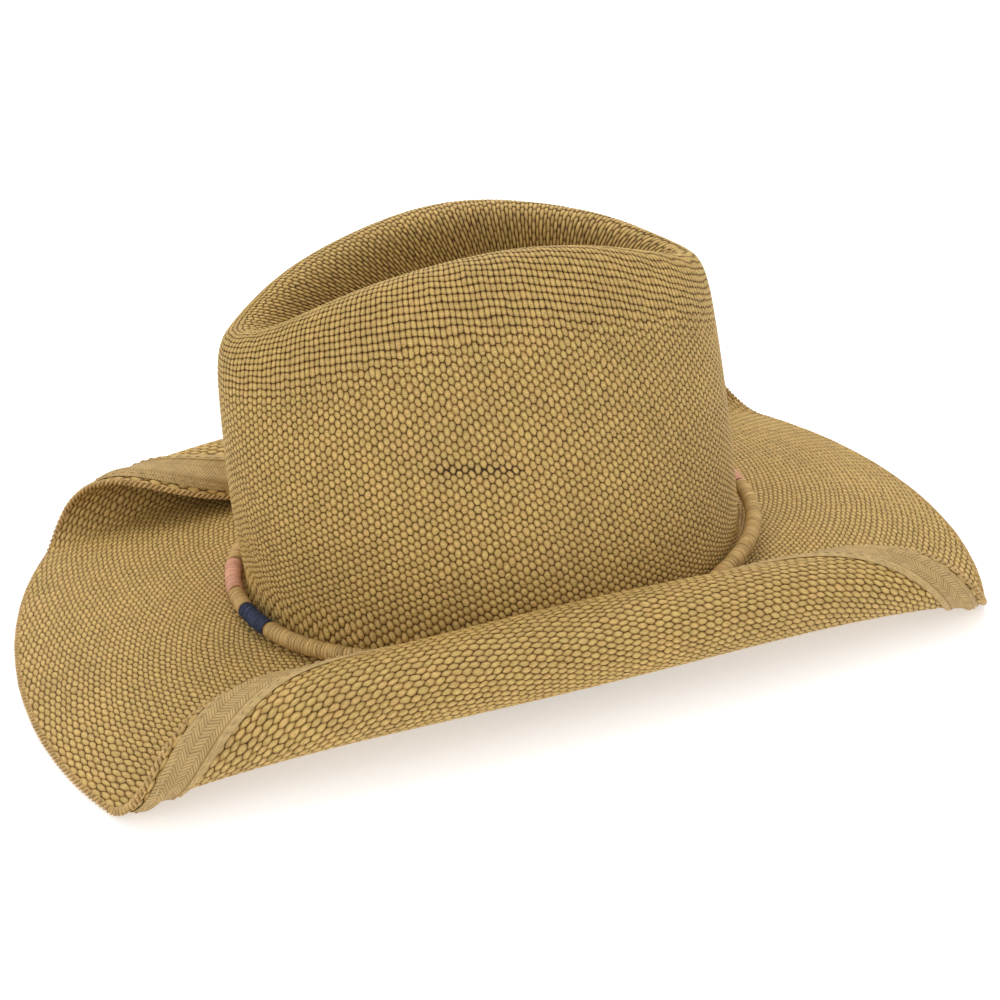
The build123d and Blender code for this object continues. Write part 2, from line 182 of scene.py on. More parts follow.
def between(front, side, back, angle):
    """A size that varies from front through side to back."""
    cosine = np.cos(angle)
    ends = (front + back) / 2 * cosine**2 + (front - back) / 2 * cosine
    return side * np.sin(angle) ** 2 + ends


def foot_oval(angle):
    """The crown's foot: points on the oval, and the directions straight out of it."""
    zero = np.zeros_like(angle)
    sine, cosine = np.sin(angle), np.cos(angle)
    points = np.stack([FOOT_HALF_WIDTH * sine, -FOOT_HALF_LENGTH * cosine, zero], -1)
    outward = np.stack([sine / FOOT_HALF_WIDTH, -cosine / FOOT_HALF_LENGTH, zero], -1)
    return points, unit(outward)


def spline_weights(count, at):
    """Weights of a clamped cubic B-spline with count control points."""
    at = np.clip(at, 0.0, 1.0 - 1e-9)
    inner = np.linspace(0.0, 1.0, count - 2)
    knots = np.concatenate([np.zeros(3), inner, np.ones(3)])
    weights = [((at >= a) & (at < b)).astype(float) for a, b in zip(knots, knots[1:])]
    for degree in (1, 2, 3):
        spans = np.maximum(knots[degree:] - knots[:-degree], 1e-12)
        weights = [
            (at - knots[i]) / spans[i] * weights[i]
            + (knots[i + degree + 1] - at) / spans[i + 1] * weights[i + 1]
            for i in range(len(weights) - 1)
        ]
    return np.stack(weights, -1)


def crown_grid(angle, at):
    """Crown points, one row for each place along the profile: 0 foot, 1 crease centre."""
    foot, outward = foot_oval(angle)
    sine, cosine = np.sin(angle), np.cos(angle)
    height = between(HEIGHT_FRONT, HEIGHT_SIDE, HEIGHT_BACK, angle)
    half_width = RIDGE_HALF_WIDTH * (1.0 - RIDGE_TEARDROP * cosine)
    ridge_y = RIDGE_CENTRE_Y - RIDGE_HALF_LENGTH * cosine
    ridge = np.stack([half_width * sine, ridge_y, height], -1)
    flat = np.zeros_like(angle)
    away = unit(np.stack([sine / half_width, -cosine / RIDGE_HALF_LENGTH, flat], -1))
    outer_shoulder = ridge + away * RIDGE_ROUND - UP * RIDGE_ROUND * RIDGE_DROP_OUTSIDE
    inner_shoulder = np.stack([
        (half_width - RIDGE_ROUND) * sine,
        RIDGE_CENTRE_Y - (RIDGE_HALF_LENGTH - RIDGE_ROUND) * cosine,
        height - RIDGE_ROUND * RIDGE_DROP_INSIDE,
    ], -1)
    centre = np.array([0.0, CREASE_CENTRE_Y, CREASE_HEIGHT])
    floor = centre + (ridge - centre) * [CREASE_SPREAD, CREASE_SPREAD, CREASE_LIFT]
    controls = [foot + outward * FOOT_FLARE, foot + outward * FOOT_FLARE * FLARE_TOE]
    controls += [foot + UP * above for above in FOOT_HEIGHTS]
    for part in WALL_PARTS:
        bulge = WALL_BULGE * 4.0 * part * (1.0 - part)
        controls.append(foot + (outer_shoulder - foot) * part + outward * bulge)
    top = ridge + away * RIDGE_ROUND * RIDGE_STAND_OUT + UP
    controls += [outer_shoulder, top, inner_shoulder]
    controls += [(inner_shoulder + floor) / 2, floor, (floor + centre) / 2]
    controls.append(np.broadcast_to(centre, ridge.shape))
    grid = np.einsum("rk,kcd->rcd", spline_weights(len(controls), at), np.stack(controls))
    level = smooth(TIP_LEVEL, LEVEL_FROM, at)[:, None]
    grid[..., 2] = CREASE_HEIGHT + (grid[..., 2] - CREASE_HEIGHT) * level
    return grid


def rolled(flat_x, flat_y):
    """Distance from the centre line and height of a brim point after rolling."""
    flat_half = FOOT_HALF_WIDTH + FOOT_FLARE
    ahead = (flat_y / 100.0) ** 2
    front = flat_y < 0
    start = ROLL_START + np.where(front, ROLL_START_FRONT, ROLL_START_BACK) * ahead
    radius = ROLL_RADIUS + np.where(front, ROLL_RADIUS_FRONT, ROLL_RADIUS_BACK) * ahead
    run = np.maximum(flat_x - flat_half, 0.0)
    along = flat_half + run[..., None] * np.linspace(0.0, 1.0, ROLL_STEPS + 1)
    past = along - start[..., None]
    easing = np.maximum(past, 0.0) ** 2 / (2 * ROLL_RAMP)
    bend = np.where(past < ROLL_RAMP, easing, past - ROLL_RAMP / 2)
    slope = SIDE_SLOPE * np.clip((along - flat_half) / SLOPE_RUN, 0.0, 1.0)
    turn = bend / radius[..., None] + slope
    middle = (turn[..., 1:] + turn[..., :-1]) / 2
    step = run / ROLL_STEPS
    out = np.minimum(flat_x, flat_half) + np.cos(middle).sum(-1) * step
    return out, np.sin(middle).sum(-1) * step


def brim_width(angle):
    """The brim's flat width from the crown's foot to its edge."""
    corner = np.where(np.cos(angle) > 0, BRIM_CORNER_FRONT, BRIM_CORNER_BACK)
    return between(BRIM_FRONT, BRIM_SIDE, BRIM_BACK, angle) + corner * np.sin(2 * angle) ** 2


def brim_points(angle, reach):
    """Top of the brim at reach beyond the crown's foot."""
    foot, outward = foot_oval(angle)
    flat = foot + outward * reach[..., None]
    out, height = rolled(np.abs(flat[..., 0]), flat[..., 1])
    part = np.clip((reach - DROOP_START) / (brim_width(angle) - DROOP_START), 0.0, 1.0)
    droop = DROOP * smooth(0.0, DROOP_FADE_TO, np.abs(np.cos(angle))) * part**2
    return np.stack([np.sign(flat[..., 0]) * out, flat[..., 1], height - droop], -1)


def brim_frame(angle, inset):
    """Points at an inset from the brim's edge, and the directions out, up and along."""
    reach = brim_width(angle) - inset
    along = brim_points(angle + TURN_STEP, reach) - brim_points(angle - TURN_STEP, reach)
    outward = unit(brim_points(angle, reach + EDGE_STEP) - brim_points(angle, reach - EDGE_STEP))
    upward = unit(np.cross(outward, along))
    return brim_points(angle, reach), outward, upward, unit(along)


def waves(angle, across, lobes, seed, count=9):
    """Slow unevenness of about -1 to 1 that closes on itself round the hat."""
    pick = np.random.default_rng(seed)
    total = np.zeros(np.broadcast(angle, across).shape)
    for _ in range(count):
        round_lobes = pick.integers(1, lobes)
        along_lobes = pick.uniform(0.3, lobes / 3)
        phase = pick.uniform(0.0, 2 * np.pi)
        total = total + np.sin(round_lobes * angle + along_lobes * across + phase)
    return total / (count / 2)


def grain(u, v, columns, seed):
    """Unevenness of -1 to 1 at the size of one float, which closes on itself round the hat."""
    rows, first = 400, 100
    pick = np.random.default_rng(seed).uniform(-1.0, 1.0, (rows, columns))
    u, v = np.broadcast_arrays(u, v)
    column, row = np.floor(u).astype(int), np.floor(v).astype(int)
    across, along = smooth(0.0, 1.0, u - column), smooth(0.0, 1.0, v - row)
    left, right = column % columns, (column + 1) % columns
    row = row + first
    low = pick[row, left] * (1.0 - across) + pick[row, right] * across
    high = pick[row + 1, left] * (1.0 - across) + pick[row + 1, right] * across
    return low * (1.0 - along) + high * along


def floats(u, v, stagger, pointed, narrowed):
    """Height on a float, 0 in a gap's corner to 1 on its crown, and distance to its edge.

    Each float is a dome, and a gap lies where two meet. Even and odd columns are two chains
    of domes, the second out of step by stagger."""
    tops, seconds = [], []
    for shift, half, lowered in ((0.5, 0.0, 0.0), (-0.5, stagger, narrowed)):
        x = 2.0 * (((u + shift) / 2.0) % 1.0) - 1.0
        y = (v + half) % 1.0 - 0.5
        tops.append(1.0 - lowered - x**2 - (pointed * y) ** 2)
        seconds.append(1.0 - lowered - x**2 - (pointed * (1.0 - np.abs(y))) ** 2)
    first = np.maximum(tops[0], tops[1])
    own_second = np.where(tops[0] > tops[1], seconds[0], seconds[1])
    second = np.maximum(np.minimum(tops[0], tops[1]), own_second)
    lowest = 1.0 - pointed**2 / 4 - (0.5 - pointed**2 / 8) ** 2
    return np.clip((first - lowest) / (1.0 - lowest), 0.0, 1.0), first - second


def mesh_object(name, points, faces, uvs=None, values=None):
    """A mesh piece. faces and uvs are lists of arrays, one for each number of corners."""
    mesh = bpy.data.meshes.new(name)
    points = (np.asarray(points, float).reshape(-1, 3) + SHIFT) * MM
    corners = np.concatenate([f.ravel() for f in faces])
    sizes = np.concatenate([np.full(len(f), f.shape[1]) for f in faces])
    mesh.vertices.add(len(points))
    mesh.vertices.foreach_set("co", points.astype(np.float32).ravel())
    mesh.loops.add(len(corners))
    mesh.loops.foreach_set("vertex_index", corners.astype(np.int32))
    mesh.polygons.add(len(sizes))
    starts = np.concatenate([[0], np.cumsum(sizes)[:-1]])
    mesh.polygons.foreach_set("loop_start", starts.astype(np.int32))
    if uvs is not None:
        layer = mesh.uv_layers.new(name="weave")
        flat = np.concatenate([uv.reshape(-1, 2) for uv in uvs])
        layer.data.foreach_set("uv", flat.astype(np.float32).ravel())
    for key, value in (values or {}).items():
        attribute = mesh.attributes.new(key, "FLOAT", "POINT")
        attribute.data.foreach_set("value", np.asarray(value, np.float32).ravel())
    mesh.update(calc_edges=True)
    mesh.polygons.foreach_set("use_smooth", np.full(len(sizes), True))
    piece = bpy.data.objects.new(name, mesh)
    bpy.context.scene.collection.objects.link(piece)
    return piece


def ring_quads(rows, columns, flip=False, first=0):
    """Quads of a grid that closes on itself along its columns."""
    row, column = np.meshgrid(np.arange(rows - 1), np.arange(columns), indexing="ij")
    after = (column + 1) % columns
    quads = np.stack([row * columns + column, row * columns + after,
                      (row + 1) * columns + after, (row + 1) * columns + column], -1)
    quads = quads.reshape(-1, 4) + first
    return quads[:, ::-1] if flip else quads


def fan(rim, middle, flip):
    """Triangles from a ring of points to a middle one."""
    faces = np.stack([rim, np.roll(rim, -1), np.full(len(rim), middle)], -1)
    return faces[:, ::-1] if flip else faces


def ring_uvs(u_edges, v, flip=False):
    """Corner coordinates for ring_quads, from u of each column's edge and v of each point."""
    closing = np.concatenate([v, v[:, :1]], 1)
    u = np.broadcast_to(u_edges, closing.shape)
    pair = np.stack([u, closing], -1)
    uv = np.stack([pair[:-1, :-1], pair[:-1, 1:], pair[1:, 1:], pair[1:, :-1]], 2)
    uv = uv.reshape(-1, 4, 2)
    return uv[:, ::-1] if flip else uv


def finished(piece, material, slot, *nodes):
    """Gives a piece its material and ties it to the CAD frame."""
    piece.data.materials.append(material)
    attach(piece, "root")
    if nodes:
        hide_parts(*nodes)
    return piece


# ---- materials

# Tape: width of a herringbone stripe, step of its yarns and their lean, and the width and
# rise of the border that is folded under, all but the lean in millimetres
HERRINGBONE_STRIPE = 2.6
HERRINGBONE_PITCH = 1.3
HERRINGBONE_LEAN = 1.0
TAPE_FOLD = 2.6
TAPE_FOLD_RISE = 0.45


# Straw: its gaps, dark joints deepened with painted shade, the painted shade on a float's
# sides, its body and the painted highlight on its crown, as display colours, and the two
# slight tints that floats vary between, as factors
STRAW_GAP_AND_SHADE = (62, 36, 4)
STRAW_SIDE_SHADE = (128, 91, 34)
STRAW_BODY = (180, 146, 80)
STRAW_HIGHLIGHT = (216, 184, 116)
STRAW_GREENER = (0.985, 1.01, 0.975, 1.0)
STRAW_REDDER = (1.015, 0.99, 1.01, 1.0)


class Shader:
    """A material's node tree with short calls for the nodes that this scene uses."""

    def __init__(self, name):
        self.material = bpy.data.materials.new(name)
        self.material.use_nodes = True
        self.tree = self.material.node_tree
        self.surface = self.tree.nodes["Principled BSDF"]

    def put(self, socket, value):
        """Links a socket or sets a value."""
        if isinstance(value, bpy.types.NodeSocket):
            self.tree.links.new(value, socket)
        elif value is not None:
            socket.default_value = value

    def node(self, kind, inputs=(), **settings):
        node = self.tree.nodes.new(kind)
        for key, value in settings.items():
            setattr(node, key, value)
        for key, value in dict(inputs).items():
            self.put(node.inputs[key], value)
        return node

    def math(self, operation, a, b=None, clamp=False):
        node = self.node("ShaderNodeMath", {0: a, 1: b}, operation=operation, use_clamp=clamp)
        return node.outputs[0]

    def times(self, a, *others):
        """Product of sockets and numbers."""
        for other in others:
            a = self.math("MULTIPLY", a, other)
        return a

    def plus(self, a, b, clamp=False):
        return self.math("ADD", a, b, clamp)

    def minus(self, a, b):
        return self.math("SUBTRACT", a, b)

    def from_middle(self, value):
        """Distance of a repeating value from the middle of its step, 0 to 0.5."""
        return self.math("ABSOLUTE", self.minus(self.math("FRACT", value), 0.5))

    def ramp(self, value, low, high, to_low=0.0, to_high=1.0):
        inputs = {"Value": value, "From Min": low, "From Max": high,
                  "To Min": to_low, "To Max": to_high}
        node = self.node("ShaderNodeMapRange", inputs, interpolation_type="SMOOTHSTEP")
        return node.outputs[0]

    def mix(self, kind, factor, a, b, how="MIX"):
        """A blend of two numbers, vectors or colours."""
        first, output = {"FLOAT": (2, 0), "VECTOR": (4, 1), "RGBA": (6, 2)}[kind]
        inputs = {0: factor, first: a, first + 1: b}
        return self.node("ShaderNodeMix", inputs, data_type=kind, blend_type=how).outputs[output]

    def blend(self, factor, a, b, how="MIX"):
        return self.mix("RGBA", factor, a, b, how)

    def tinted(self, tone, *shades):
        """A colour made lighter or darker by the product of the shades."""
        shade = self.times(*shades)
        grey = self.node("ShaderNodeCombineColor", {0: shade, 1: shade, 2: shade})
        return self.blend(1.0, tone, grey.outputs[0], "MULTIPLY")

    def value(self, name):
        return self.node("ShaderNodeAttribute", attribute_name=name).outputs["Fac"]

    def coordinates(self):
        uv = self.node("ShaderNodeUVMap", uv_map="weave").outputs[0]
        parts = self.node("ShaderNodeSeparateXYZ", {0: uv})
        return parts.outputs[0], parts.outputs[1]

    def vector(self, x, y, z=0.0):
        return self.node("ShaderNodeCombineXYZ", {0: x, 1: y, 2: z}).outputs[0]

    def fine_noise(self, u, v, w=0.0):
        return self.noise(self.vector(u, v, w), 1.0, 3.0, 0.6)

    def noise(self, vector, scale=1.0, detail=2.0, roughness=0.5):
        inputs = {"Vector": vector, "Scale": scale, "Detail": detail, "Roughness": roughness}
        return self.node("ShaderNodeTexNoise", inputs).outputs["Fac"]

    def chance(self, vector):
        """A random number of 0 to 1 for every whole-numbered vector."""
        return self.node("ShaderNodeTexWhiteNoise", {"Vector": vector}).outputs["Value"]

    def place(self):
        return self.node("ShaderNodeTexCoord").outputs["Object"]

    def finish(self, colour, roughness, height, distance, strength=0.6, **constants):
        self.put(self.surface.inputs["Base Color"], colour)
        self.put(self.surface.inputs["Roughness"], roughness)
        inputs = {"Height": height, "Strength": strength, "Distance": distance}
        bump = self.node("ShaderNodeBump", inputs).outputs[0]
        self.put(self.surface.inputs["Normal"], bump)
        for key, value in constants.items():
            self.surface.inputs[key.replace("_", " ")].default_value = value
        return self.material


def colour(red, green, blue):
    """A colour from its display values of 0 to 255."""
    def linear(c):
        c /= 255.0
        return c / 12.92 if c <= 0.04045 else ((c + 0.055) / 1.055) ** 2.4
    return (linear(red), linear(green), linear(blue), 1.0)


def straw_material(name, columns):
    """Flat paper straw in short floats, darker and warmer in the gaps between them, with
    painted shade on the floats' sides and in the gaps and painted highlights on their tops.
    """
    s = Shader(name)
    u, v = s.coordinates()
    stagger, radial, hole = s.value("stagger"), s.value("radial"), s.value("hole")
    narrowed = s.times(radial, CREASE_BIAS)
    pointed = s.value("pointed")
    squared = s.times(pointed, pointed)
    # the same domes as in floats()
    tops, seconds, cells = [], [], []
    for shift, half, lowered in ((0.5, 0.0, 0.0), (-0.5, stagger, narrowed)):
        column = s.times(s.plus(u, shift), 0.5)
        x = s.minus(s.times(s.math("FRACT", column), 2.0), 1.0)
        step = s.plus(v, half)
        y = s.minus(s.math("FRACT", step), 0.5)
        level = s.minus(s.minus(1.0, lowered), s.times(x, x))
        far = s.minus(1.0, s.math("ABSOLUTE", y))
        tops.append(s.minus(level, s.times(squared, s.times(y, y))))
        seconds.append(s.minus(level, s.times(squared, s.times(far, far))))
        number = s.math("MODULO", s.math("FLOOR", column), columns / 2)
        cells.append(s.vector(number, s.math("FLOOR", step), shift))
    is_first = s.math("GREATER_THAN", tops[0], tops[1])
    first = s.math("MAXIMUM", tops[0], tops[1])
    own = s.plus(s.times(seconds[0], is_first), s.times(seconds[1], s.minus(1.0, is_first)))
    second = s.math("MAXIMUM", s.math("MINIMUM", tops[0], tops[1]), own)
    edge = s.minus(first, second)
    corner = s.minus(0.5, s.times(squared, 0.125))
    lowest = s.minus(s.minus(1.0, s.times(squared, 0.25)), s.times(corner, corner))
    rise = s.math("DIVIDE", s.minus(first, lowest), s.minus(1.0, lowest), clamp=True)
    cell = s.mix("VECTOR", is_first, cells[1], cells[0])
    pick = s.chance(cell)
    moved = s.node("ShaderNodeVectorMath", {0: cell, 1: (0.37, 0.61, 4.2)}, operation="ADD")
    other = s.chance(moved.outputs[0])
    # fine fibres: along the columns in the crease, across them elsewhere
    crosswise = s.fine_noise(s.times(u, 2.2), s.times(v, 15.0), pick)
    lengthwise = s.fine_noise(s.times(u, 15.0), s.times(v, 2.2), pick)
    fibres = s.mix("FLOAT", radial, crosswise, lengthwise)
    uneven = s.noise(s.place(), 28.0, 3.0, 0.55)
    mottled = s.noise(s.vector(s.times(u, 0.8), s.times(v, 0.8)), 1.0, 2.0, 0.6)
    # how wide and dark the gaps are changes slowly over the straw
    cover = s.ramp(edge, 0.0, s.plus(s.ramp(mottled, 0.3, 0.7, 0.07, 0.26), s.times(hole, 0.5)))
    # painted shade: the low corners where floats meet are darkened as a recess would be
    shaded_corner = s.ramp(rise, 0.04, s.ramp(mottled, 0.3, 0.7, 0.22, 0.42), 1.0, 0.0)
    # painted shade on each float's low sides and a painted highlight on its crown, along the fibres
    tone = s.blend(s.ramp(rise, 0.05, 0.7), colour(*STRAW_SIDE_SHADE), colour(*STRAW_BODY))
    painted_highlight = s.times(s.ramp(rise, 0.4, 1.0), s.ramp(fibres, 0.35, 0.65, 0.2, 1.0))
    tone = s.blend(painted_highlight, tone, colour(*STRAW_HIGHLIGHT))
    tint = s.blend(s.ramp(other, 0.1, 0.9), STRAW_GREENER, STRAW_REDDER)
    tone = s.blend(1.0, tone, tint, "MULTIPLY")
    tone = s.tinted(tone, s.ramp(pick, 0.0, 1.0, 0.93, 1.06), s.ramp(uneven, 0.3, 0.7, 0.94, 1.05),
                    s.ramp(fibres, 0.3, 0.7, 0.82, 1.12))
    # the gap lines: dark joints between floats, deepened with painted shade where the straw is low
    line = s.times(s.minus(1.0, cover), s.ramp(mottled, 0.3, 0.7, 0.2, 0.9),
                   s.ramp(rise, 0.2, 0.9, 1.0, 0.55))
    dark = s.plus(line, s.times(shaded_corner, 0.85))
    # painted shade inside the open gaps of the holes
    dark = s.plus(dark, s.times(hole, s.ramp(rise, 0.3, 0.8, 0.8, 0.0)), clamp=True)
    tone = s.blend(dark, tone, colour(*STRAW_GAP_AND_SHADE))
    height = s.plus(s.plus(s.times(rise, 0.6), s.times(cover, 0.35)), s.times(fibres, 0.22))
    rough = s.ramp(fibres, 0.2, 0.8, 0.66, 0.50)
    return s.finish(tone, rough, height, 0.0005, 0.9, Specular_IOR_Level=0.32)


def strand_material(name, dark, body, highlight, per_turn=1.0):
    """Thread, cord or twisted straw: coordinates are turns along it and place across."""
    s = Shader(name)
    u, v = s.coordinates()
    pick = s.chance(s.vector(s.math("FLOOR", s.times(u, per_turn)), 0.0))
    fibres = s.fine_noise(s.times(u, 9.0), s.times(v, 3.0), pick)
    depth = s.value("depth")
    # painted shade: where the depth attribute is low, in the grooves between turns and where
    # strands meet, the colour turns dark; on the crests a painted highlight follows the fibres
    tone = s.blend(s.ramp(depth, 0.0, 0.75), colour(*dark), colour(*body))
    painted_highlight = s.times(s.ramp(depth, 0.5, 1.0), s.ramp(fibres, 0.35, 0.7))
    tone = s.blend(painted_highlight, tone, colour(*highlight))
    tone = s.tinted(tone, s.ramp(pick, 0.0, 1.0, 0.82, 1.1), s.ramp(fibres, 0.25, 0.75, 0.84, 1.1))
    rough = s.ramp(fibres, 0.2, 0.8, 0.72, 0.5)
    return s.finish(tone, rough, fibres, 0.00012, 0.6, Specular_IOR_Level=0.3)


def tape_material():
    """Herringbone paper-yarn tape: coordinates are millimetres along and across it."""
    s = Shader("herringbone_tape")
    u, v = s.coordinates()
    stripe = s.times(v, 1.0 / HERRINGBONE_STRIPE)
    side = s.from_middle(s.times(stripe, 0.5))
    slope = s.times(side, 2.0 * HERRINGBONE_STRIPE * HERRINGBONE_LEAN)
    phase = s.times(s.plus(u, slope), 1.0 / HERRINGBONE_PITCH)
    cover = s.minus(1.0, s.ramp(s.from_middle(phase), 0.0, 0.2, 1.0, 0.0))
    seam = s.ramp(s.from_middle(stripe), 0.40, 0.5, 1.0, 0.55)
    pick = s.chance(s.vector(s.math("FLOOR", phase), s.math("FLOOR", stripe)))
    fibres = s.fine_noise(s.times(phase, 6.0), s.times(v, 1.4), pick)
    # the folded inner border is plain, with a dark line beside it
    fold = TAPE_WIDTH - TAPE_FOLD
    border = s.ramp(v, fold - 0.2, fold + 0.1)
    beside = s.math("ABSOLUTE", s.minus(v, fold - 0.2))
    weave = s.math("MAXIMUM", s.times(cover, seam), border)
    weave = s.times(weave, s.ramp(beside, 0.1, 0.4, 0.2, 1.0))
    tone = s.blend(weave, colour(150, 118, 66), colour(190, 161, 108))
    tone = s.tinted(tone, s.ramp(pick, 0.0, 1.0, 0.88, 1.08), s.ramp(fibres, 0.25, 0.75, 0.86, 1.1))
    height = s.plus(weave, s.times(fibres, 0.3))
    rough = s.ramp(fibres, 0.2, 0.8, 0.75, 0.58)
    return s.finish(tone, rough, height, 0.0002, 0.8, Specular_IOR_Level=0.25)


def ribbon_material(name, dark, body, pitch):
    """Ribbed ribbon: coordinates are millimetres along and across it."""
    s = Shader(name)
    u, v = s.coordinates()
    phase = s.times(u, 1.0 / pitch)
    weft = s.from_middle(s.plus(s.times(v, 2.2), s.times(s.math("FLOOR", phase), 0.5)))
    fibres = s.fine_noise(s.times(u, 3.0), s.times(v, 9.0))
    # painted shade darkens the grooves between the ribs and the gaps between weft threads
    groove = s.ramp(s.from_middle(phase), 0.0, 0.3, 1.0, 0.0)
    cover = s.times(s.minus(1.0, s.times(groove, 0.8)), s.ramp(weft, 0.0, 0.25, 0.8, 1.0))
    tone = s.blend(cover, colour(*dark), colour(*body))
    tone = s.tinted(tone, s.ramp(fibres, 0.25, 0.75, 0.88, 1.08))
    height = s.plus(cover, s.times(fibres, 0.25))
    rough = s.ramp(fibres, 0.2, 0.8, 0.85, 0.7)
    return s.finish(tone, rough, height, 0.00015, 0.7, Specular_IOR_Level=0.2)


def metal_material(name, base, grey):
    """Drawn metal with faint streaks and spots."""
    s = Shader(name)
    spots = s.noise(s.place(), 900.0, 3.0, 0.6)
    streaks = s.noise(s.place(), 160.0, 2.0, 0.5)
    tone = s.blend(s.ramp(streaks, 0.3, 0.7), colour(*base), colour(*grey))
    return s.finish(tone, s.ramp(spots, 0.3, 0.7, 0.25, 0.45), spots, 0.00004, 0.4,
                    Metallic=1.0)


# ---- woven sheet

# How finely a ring of the crown or brim is sampled before its columns are spaced on it
FINE_TURNS = 1440


def weave_rows():
    """Places along the crown's profile at even steps of the weave, and their float count."""
    fine = np.linspace(0.0, TIP_RING, 900)
    grid = crown_grid(around(48), fine)
    step = np.linalg.norm(np.diff(grid, axis=0), axis=2).mean(1)
    size = np.interp(fine, FLOAT_AT, FLOAT_LENGTH)
    count = np.concatenate([[0.0], np.cumsum(step / (size[1:] + size[:-1]) * 2)])
    v = np.arange(int(count[-1] * PER_FLOAT) + 1) / PER_FLOAT
    return np.interp(v, count, fine), v


def column_turns(ring, columns, evenness):
    """Turns round the hat of every column's points, more or less evenly spaced along a ring."""
    run = arc_lengths(ring)
    place = np.linspace(0.0, 1.0, columns * PER_COLUMN + 1)[:-1]
    even = np.interp(place, run / run[-1], np.linspace(0.0, 1.0, len(run)))
    return place + evenness * (even - place)


def crown_skin():
    """The crown's outer skin from its foot to the crease: angles, points, rows, profile."""
    at, v = weave_rows()
    fine = crown_grid(around(FINE_TURNS), at)
    turns = np.stack([column_turns(ring, CROWN_COLUMNS, EVENNESS) for ring in fine])
    closed = np.concatenate([fine, fine[:, :1]], 1)
    places = np.arange(FINE_TURNS + 1) / FINE_TURNS
    points = np.stack([
        np.stack([np.interp(turn, places, row[:, axis]) for axis in range(3)], -1)
        for turn, row in zip(turns, closed)
    ])
    return turns * 2 * np.pi, points, v, at


def brim_skin():
    """The brim's top skin from its edge to the crown's foot."""
    fine = around(FINE_TURNS)
    ring = brim_points(fine, brim_width(fine))
    angle = column_turns(ring, BRIM_COLUMNS, 1.0) * 2 * np.pi
    edge = brim_width(angle) - SHEET_END
    part = np.linspace(0.0, 1.0, BRIM_FLOATS * PER_FLOAT + 1)
    reach = edge + (FOOT_FLARE - edge) * part[:, None]
    turned = np.broadcast_to(angle, reach.shape)
    return turned, brim_points(turned, reach), (part - 1.0) * BRIM_FLOATS, part * 0.0


# A short run of open gaps in the +X wall: its place along the crown's profile, the angle of
# its middle, half its length and its height in floats
HOLES_AT = 0.36
HOLES_ANGLE = math.radians(76.0)
HOLES_SPREAD = math.radians(9.0)
HOLES_HEIGHT = 0.42


